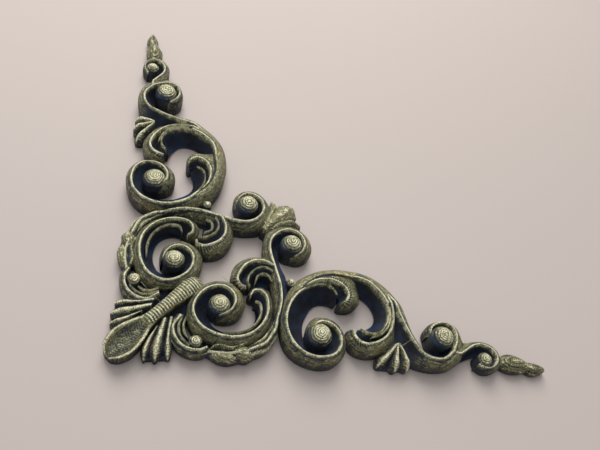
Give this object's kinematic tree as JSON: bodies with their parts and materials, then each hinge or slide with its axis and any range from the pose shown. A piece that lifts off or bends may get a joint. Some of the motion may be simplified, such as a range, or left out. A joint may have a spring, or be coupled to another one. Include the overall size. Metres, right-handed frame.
{
  "type": "carved scroll corner ornament",
  "caption": "L-shaped applied corner ornament of mirrored scrolls, leaves and buds carved in relief on one flat back.",
  "frame": {"origin": "middle of the ornament's bounding square, on the plane of the flat back that is glued down", "axes": "+Z out of the flat back, the thin direction; +X and +Y run along the two arms, away from the outer corner"},
  "size_m": [0.15, 0.15, 0.0103],
  "materials": {
    "painted_relief": "matt dark blue paint dry-brushed with pale gold over printed plastic"
  },
  "bodies": {
    "root": {"arch_x": "painted_relief", "arch_y": "painted_relief", "big_eye_x": "painted_relief", "big_eye_y": "painted_relief", "big_scroll_x": "painted_relief", "big_scroll_y": "painted_relief", "centre_leaf": "painted_relief", "corner_eye_x": "painted_relief", "corner_eye_y": "painted_relief", "corner_leaf_lobe_x": "painted_relief", "corner_leaf_lobe_y": "painted_relief", "corner_leaf_x": "painted_relief", "corner_leaf_y": "painted_relief", "corner_scroll_x": "painted_relief", "corner_scroll_y": "painted_relief", "corner_stem_x": "painted_relief", "corner_stem_y": "painted_relief", "eye_leaf_x": "painted_relief", "eye_leaf_y": "painted_relief", "fan_lobe": "painted_relief", "fan_side_lobe_x": "painted_relief", "fan_side_lobe_y": "painted_relief", "fronds_x": "painted_relief", "fronds_y": "painted_relief", "hanging_leaf_x": "painted_relief", "hanging_leaf_y": "painted_relief", "husk_high_x": "painted_relief", "husk_high_y": "painted_relief", "husk_low_x": "painted_relief", "husk_low_y": "painted_relief", "inner_bead_x": "painted_relief", "inner_bead_y": "painted_relief", "inner_eye_x": "painted_relief", "inner_eye_y": "painted_relief", "inner_frond_x": "painted_relief", "inner_frond_y": "painted_relief", "main_bud_x": "painted_relief", "main_bud_y": "painted_relief", "medium_eye_x": "painted_relief", "medium_eye_y": "painted_relief", "medium_scroll_x": "painted_relief", "medium_scroll_y": "painted_relief", "outer_bead_x": "painted_relief", "outer_bead_y": "painted_relief", "outer_frond_x": "painted_relief", "outer_frond_y": "painted_relief", "shell_x": "painted_relief", "shell_y": "painted_relief", "small_eye_x": "painted_relief", "small_eye_y": "painted_relief", "small_scroll_x": "painted_relief", "small_scroll_y": "painted_relief", "small_volute_x": "painted_relief", "small_volute_y": "painted_relief", "tip_bud_x": "painted_relief", "tip_bud_y": "painted_relief", "volute_eye_x": "painted_relief", "volute_eye_y": "painted_relief"}
  },
  "joints": []
}
